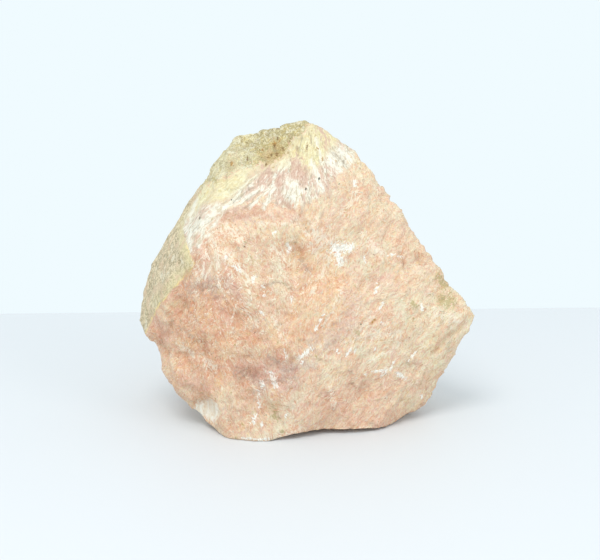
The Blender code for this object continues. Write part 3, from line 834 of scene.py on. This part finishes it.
for name, tint, *edge in (
    ("blades", white, 2.2, 0.20, 0.85, 1.00), ("mauve", mauve, 2.8, 0.40, 0.90, 0.80),
    ("bright", bright, 1.8, 0.30, 0.85, 0.88), ("seam", BLADE_SEAM, 1.6, 0.55, 1.00, 0.45),
):
    body = stone.marked(body, name, tint, blade_grain, *edge)

# The cap is stained yellow and olive, with ochre clouds, thin brown cracks, and brown in its pits; the brown
# low in the hollows is partly painted shade.
CAP_YELLOW = colour(228, 217, 172)
CAP_OLIVE = colour(186, 172, 128)
CAP_PALE = colour(236, 230, 206)
CAP_BROWN = colour(190, 152, 88)
CAP_OCHRE = colour(218, 194, 126)
CAP_CRACK = colour(146, 122, 72)
CAP_DIM = (0.74, 0.715, 0.66, 1.0)
CAP_FULL = (1.0, 1.0, 1.0, 1.0)
PIT_BROWN = colour(128, 98, 58)
CAP_GRAIN_NOISE = (0.0022, 4.0, 0.68, 0.0)
CAP_GRAIN_FELT = 0.9
CAP_CLOUD_NOISE = (0.0055, 4.0, 0.65, 0.0)
CAP_HUE_NOISE = (0.0024, 4.0, 0.7, 85.0)
CAP_CRACK_NOISE = (0.0034, 3.0, 0.7, 83.0)
CAP_CRACK_WIDTH = (0.022, 0.005)
CAP_CRACK_PATCHES = (0.0040, 2.0, 0.5, 88.0)
CAP_SPECK_NOISE = (0.0011, 2.0, 0.6, 81.0)
CAP_SPECK_SHARE = 0.75
STAIN_FROM_CLOUD = 1.5
STAIN_FROM_GRAIN = 4.0
CAP_PALE_SHARE = 0.2
cap_grain = stone.moved_by(stone.noise(bent, *CAP_GRAIN_NOISE), broad_felt, CAP_GRAIN_FELT)
cap_cloud = stone.noise(place, *CAP_CLOUD_NOISE)
cap_cracks = stone.noise(bent, *CAP_CRACK_NOISE)
cap_cracks = lines(cap_cracks, Finish.NOISE_MIDDLE, CAP_CRACK_WIDTH, CAP_CRACK_PATCHES, 0.56, 0.85)
cap_stain = stone.moved_by(stone.painted("stain"), cap_cloud, STAIN_FROM_CLOUD)
cap_stain = stone.moved_by(cap_stain, cap_grain, STAIN_FROM_GRAIN)
cap_colour = stone.coated(
    CAP_OLIVE,
    (cap_cloud, 0.42, 0.58, 1.00, CAP_YELLOW),
    (cap_grain, 0.49, 0.62, 0.80, CAP_PALE),
    (cap_grain, 0.48, 0.38, 0.90, CAP_OLIVE),
    (stone.noise(bent, *CAP_HUE_NOISE), 0.52, 0.62, 0.55, CAP_OCHRE),
)
cap_colour = stone.mix(cap_cracks, cap_colour, CAP_CRACK)
cap_colour = stone.coated(
    cap_colour,
    (cap_stain, 0.50, 1.10, 0.65, CAP_BROWN),
    (stone.noise(place, *CAP_SPECK_NOISE), 0.36, 0.30, CAP_SPECK_SHARE, PIT_BROWN),
)
cap_shade = stone.coated(CAP_DIM, (speckle, 0.30, 0.70, 1.0, CAP_FULL))
cap_colour = stone.mix(1.0, cap_colour, cap_shade, "MULTIPLY")
# Low places on the cap turn brown: the brown in its pits, with painted shade in the hollows.
cap_colour = stone.coated(cap_colour, (stone.painted("height"), -0.30, -0.75, 0.70, PIT_BROWN))
cap_colour = stone.mix(stone.times(stone.painted("cap_pale"), CAP_PALE_SHARE), cap_colour, CAP_PALE)
body = stone.marked(body, "cap", cap_colour, stone.centred(cap_grain), 2.0, 0.30, 0.70, 1.0)

# The joint face is a smooth olive-tan skin, streaked along its length, with a thin yellow rim.
JOINT_TAN = colour(221, 203, 170)
JOINT_OLIVE = colour(166, 151, 120)
JOINT_PALE = colour(225, 212, 162)
JOINT_ROSE = colour(212, 184, 154)
JOINT_CREAM = colour(230, 222, 200)
RIM_YELLOW = colour(238, 214, 146)
JOINT_FELT_NOISE = (0.0007, 4.0, 0.7, 13.0)
JOINT_FELT_DRAW = (1.0, 0.5, 0.5)
JOINT_SPECKLE = 0.45
JOINT_LINE_NOISE = (0.0012, 3.0, 0.6, 19.0)
JOINT_LINE_DRAW = (1.0, 0.4, 0.22)
JOINT_CLOUD_NOISE = (0.0022, 3.0, 0.65, 14.0)
JOINT_CLOUD_DRAW = (1.0, 0.5, 0.4)
JOINT_STRIP_SHARE = 0.55


def drawn_noise(where, draw, spec):
    """Noise drawn out along the axes whose share is under 1."""
    return stone.noise(stone.vector("MULTIPLY", where, draw), *spec)


joint_felt = stone.moved_by(drawn_noise(bent, JOINT_FELT_DRAW, JOINT_FELT_NOISE), speckle, JOINT_SPECKLE)
joint_colour = stone.coated(
    JOINT_OLIVE,
    (joint_felt, 0.41, 0.59, 1.00, JOINT_TAN),
    (drawn_noise(bent, JOINT_LINE_DRAW, JOINT_LINE_NOISE), 0.54, 0.66, 0.60, JOINT_CREAM),
)
joint_strip = stone.times(stone.painted("beside_rim"), JOINT_STRIP_SHARE)
joint_colour = stone.mix(joint_strip, joint_colour, JOINT_PALE)
joint_cloud = drawn_noise(place, JOINT_CLOUD_DRAW, JOINT_CLOUD_NOISE)
joint_colour = stone.coated(joint_colour, (joint_cloud, 0.50, 0.62, 0.65, JOINT_ROSE))
body = stone.mix(stone.painted("joint"), body, joint_colour)
body = stone.coated(body, (stone.times(stone.painted("rim"), mottle), 0.30, 0.54, 0.78, RIM_YELLOW))

# The inside of the shell chip is clean white, and marks of chalk, ochre and moss lie over all.
CHIP_WHITE = colour(246, 243, 232)
CHIP_BEIGE = colour(236, 225, 204)
CHALK_WHITE = colour(250, 248, 241)
CHALK_GREY = colour(222, 218, 204)
OCHRE_BROWN = colour(172, 122, 50)
MOSS_OLIVE = colour(170, 154, 98)
GRAIN_BLACK = colour(90, 86, 76)
SHELL_LINE_NOISE = (0.0011, 2.0, 0.6, 91.0)
SHELL_LINE_DRAW = (1.0, 0.3, 0.35)
shell_lines = drawn_noise(bent, SHELL_LINE_DRAW, SHELL_LINE_NOISE)
shell_colour = stone.coated(CHIP_BEIGE, (shell_lines, 0.40, 0.62, 1.0, CHIP_WHITE))
chalk = stone.coated(CHALK_GREY, (speckle, 0.34, 0.60, 1.0, CHALK_WHITE))
for name, tint, *edge in (
    ("shell", shell_colour, 1.6, 0.25, 1.00, 0.85),
    ("cream", THREAD_CREAM, 2.6, 0.50, 1.05, 0.45), ("fibre", THREAD_CREAM, 1.4, 0.45, 0.90, 0.60),
    ("chalk", chalk, 1.6, 0.46, 0.86, 0.84), ("moss", MOSS_OLIVE, 2.0, 0.42, 1.00, 0.70),
    ("ochre", OCHRE_BROWN, 1.2, 0.55, 0.84, 0.82), ("pit", PIT_BROWN, 0.6, 0.50, 0.75, 0.85),
    ("grain", GRAIN_BLACK, 0.0, 0.58, 0.74, 0.90),
):
    body = stone.marked(body, name, tint, ragged, *edge)

# Cracks, dim places and the low ground between lumps are darkened a warm brown: this is painted shade.
CREVICE_SHADE = (0.72, 0.63, 0.55, 1.0)
DIM_SHADE = (0.80, 0.69, 0.62, 1.0)
DIM_NOISE = (0.0030, 3.0, 0.65, 97.0)
CREVICE_DIPS = (0.05, 0.90)
CREVICE_SHARE = 0.32
dim_grain = stone.centred(stone.noise(wisp, *DIM_NOISE))
body = stone.marked(body, "crack", CREVICE_SHADE, ragged, 1.2, 0.50, 0.95, 0.60, "MULTIPLY")
body = stone.marked(body, "dim", DIM_SHADE, dim_grain, 2.6, 0.25, 1.05, 0.70, "MULTIPLY")
crevice = stone.times(stone.range(stone.painted("dip"), *CREVICE_DIPS), CREVICE_SHARE)
body = stone.mix(crevice, body, CREVICE_SHADE, "MULTIPLY")
stone.feed(stone.shader.inputs["Base Color"], body)

# The pale blades are a little smoother, and the felt stands up in fine relief.
DARK_ROUGHNESS = 0.85
PALE_ROUGHNESS = 0.65
FELT_RELIEF = 0.0006
FELT_RELIEF_STRENGTH = 0.55
MOTTLE_HEIGHT = 0.5
FINE_HEIGHT = 1.2
BROAD_HEIGHT = 1.6
stone.feed(stone.shader.inputs["Roughness"], stone.range(tone, 0.0, 1.0, DARK_ROUGHNESS, PALE_ROUGHNESS))
felt_height = stone.times(mottle, MOTTLE_HEIGHT)
felt_height = stone.sum("MULTIPLY_ADD", fine_felt, FINE_HEIGHT, felt_height)
felt_height = stone.sum("MULTIPLY_ADD", broad_felt, BROAD_HEIGHT, felt_height)
bump = {"Height": felt_height, "Strength": FELT_RELIEF_STRENGTH, "Distance": FELT_RELIEF}
stone.feed(stone.shader.inputs["Normal"], stone.node("ShaderNodeBump", bump))

skin.materials.append(stone.material)
block = bpy.data.objects.new("barite_stone", skin)
bpy.context.scene.collection.objects.link(block)
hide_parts("barite_block")
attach(block, "root")


# ---- The table ----
# A plain pale sheet that the block stands on. Its back edge shows as the fold behind the block, and it is
# turned a little, so that the fold falls to one side.
TABLE_SIZE = 3.0
TABLE_BACK = 0.1305
TABLE_TURN = math.radians(2.1)
PAPER_GREY = (0.70, 0.715, 0.74, 1.0)
PAPER_ROUGHNESS = 0.6

bpy.ops.mesh.primitive_plane_add(size=TABLE_SIZE)
table = bpy.context.object
table.name = "table"
table.rotation_euler.z = TABLE_TURN
table.location = (math.sin(TABLE_TURN) * TABLE_SIZE / 2, TABLE_BACK - TABLE_SIZE / 2, 0)
paper = Finish("pale_paper")
paper.feed(paper.shader.inputs["Base Color"], PAPER_GREY)
paper.feed(paper.shader.inputs["Roughness"], PAPER_ROUGHNESS)
table.data.materials.append(paper.material)


# ---- The light ----
# A pale room all round, one large soft light high on the left, and a weak one on the right.
# Each light is given by its place, its width, its power in watts and its tint.
ROOM_COLOUR = colour(240, 251, 255)
ROOM_STRENGTH = 1.0
AIM = Vector((0.0, 0.0, 0.045))
KEY_LIGHT = ((-0.22, -0.50, 0.95), 0.50, 4.45, (1.0, 0.975, 0.935))
FILL_LIGHT = ((0.60, -0.50, 0.45), 0.40, 0.90, (1.0, 0.98, 0.95))

world = bpy.data.worlds.new("pale_room")
bpy.context.scene.world = world
world.use_nodes = True
room = world.node_tree.nodes["Background"]
room.inputs["Color"].default_value = ROOM_COLOUR
room.inputs["Strength"].default_value = ROOM_STRENGTH


def soft_light(name, place, size, power, tint):
    """A round light turned to the block."""
    lamp = bpy.data.lights.new(name, "AREA")
    lamp.shape = "DISK"
    lamp.size = size
    lamp.energy = power
    lamp.color = tint
    holder = bpy.data.objects.new(name, lamp)
    holder.location = place
    holder.rotation_euler = (AIM - Vector(place)).to_track_quat("-Z", "Y").to_euler()
    bpy.context.scene.collection.objects.link(holder)


soft_light("key", *KEY_LIGHT)
soft_light("fill", *FILL_LIGHT)


# ---- The camera ----
# It stands square in front of the block, a little above it, and looks down at it. Its long lens keeps the
# block's sides nearly parallel.
LENS = 85.0
SENSOR = 36.0
CAMERA_AIM = Vector((-0.0023, -0.0098, 0.0520))
CAMERA_RISE = math.radians(15.0)
CAMERA_AWAY = 0.510

camera_data = bpy.data.cameras.new("camera")
camera_data.lens = LENS
camera_data.sensor_width = SENSOR
camera = bpy.data.objects.new("camera", camera_data)
bpy.context.scene.collection.objects.link(camera)
back = Vector((0, -math.cos(CAMERA_RISE), math.sin(CAMERA_RISE)))
camera.location = CAMERA_AIM + back * CAMERA_AWAY
camera.rotation_euler = back.to_track_quat("Z", "Y").to_euler()
bpy.context.scene.camera = camera
bpy.context.scene.view_settings.view_transform = "Standard"
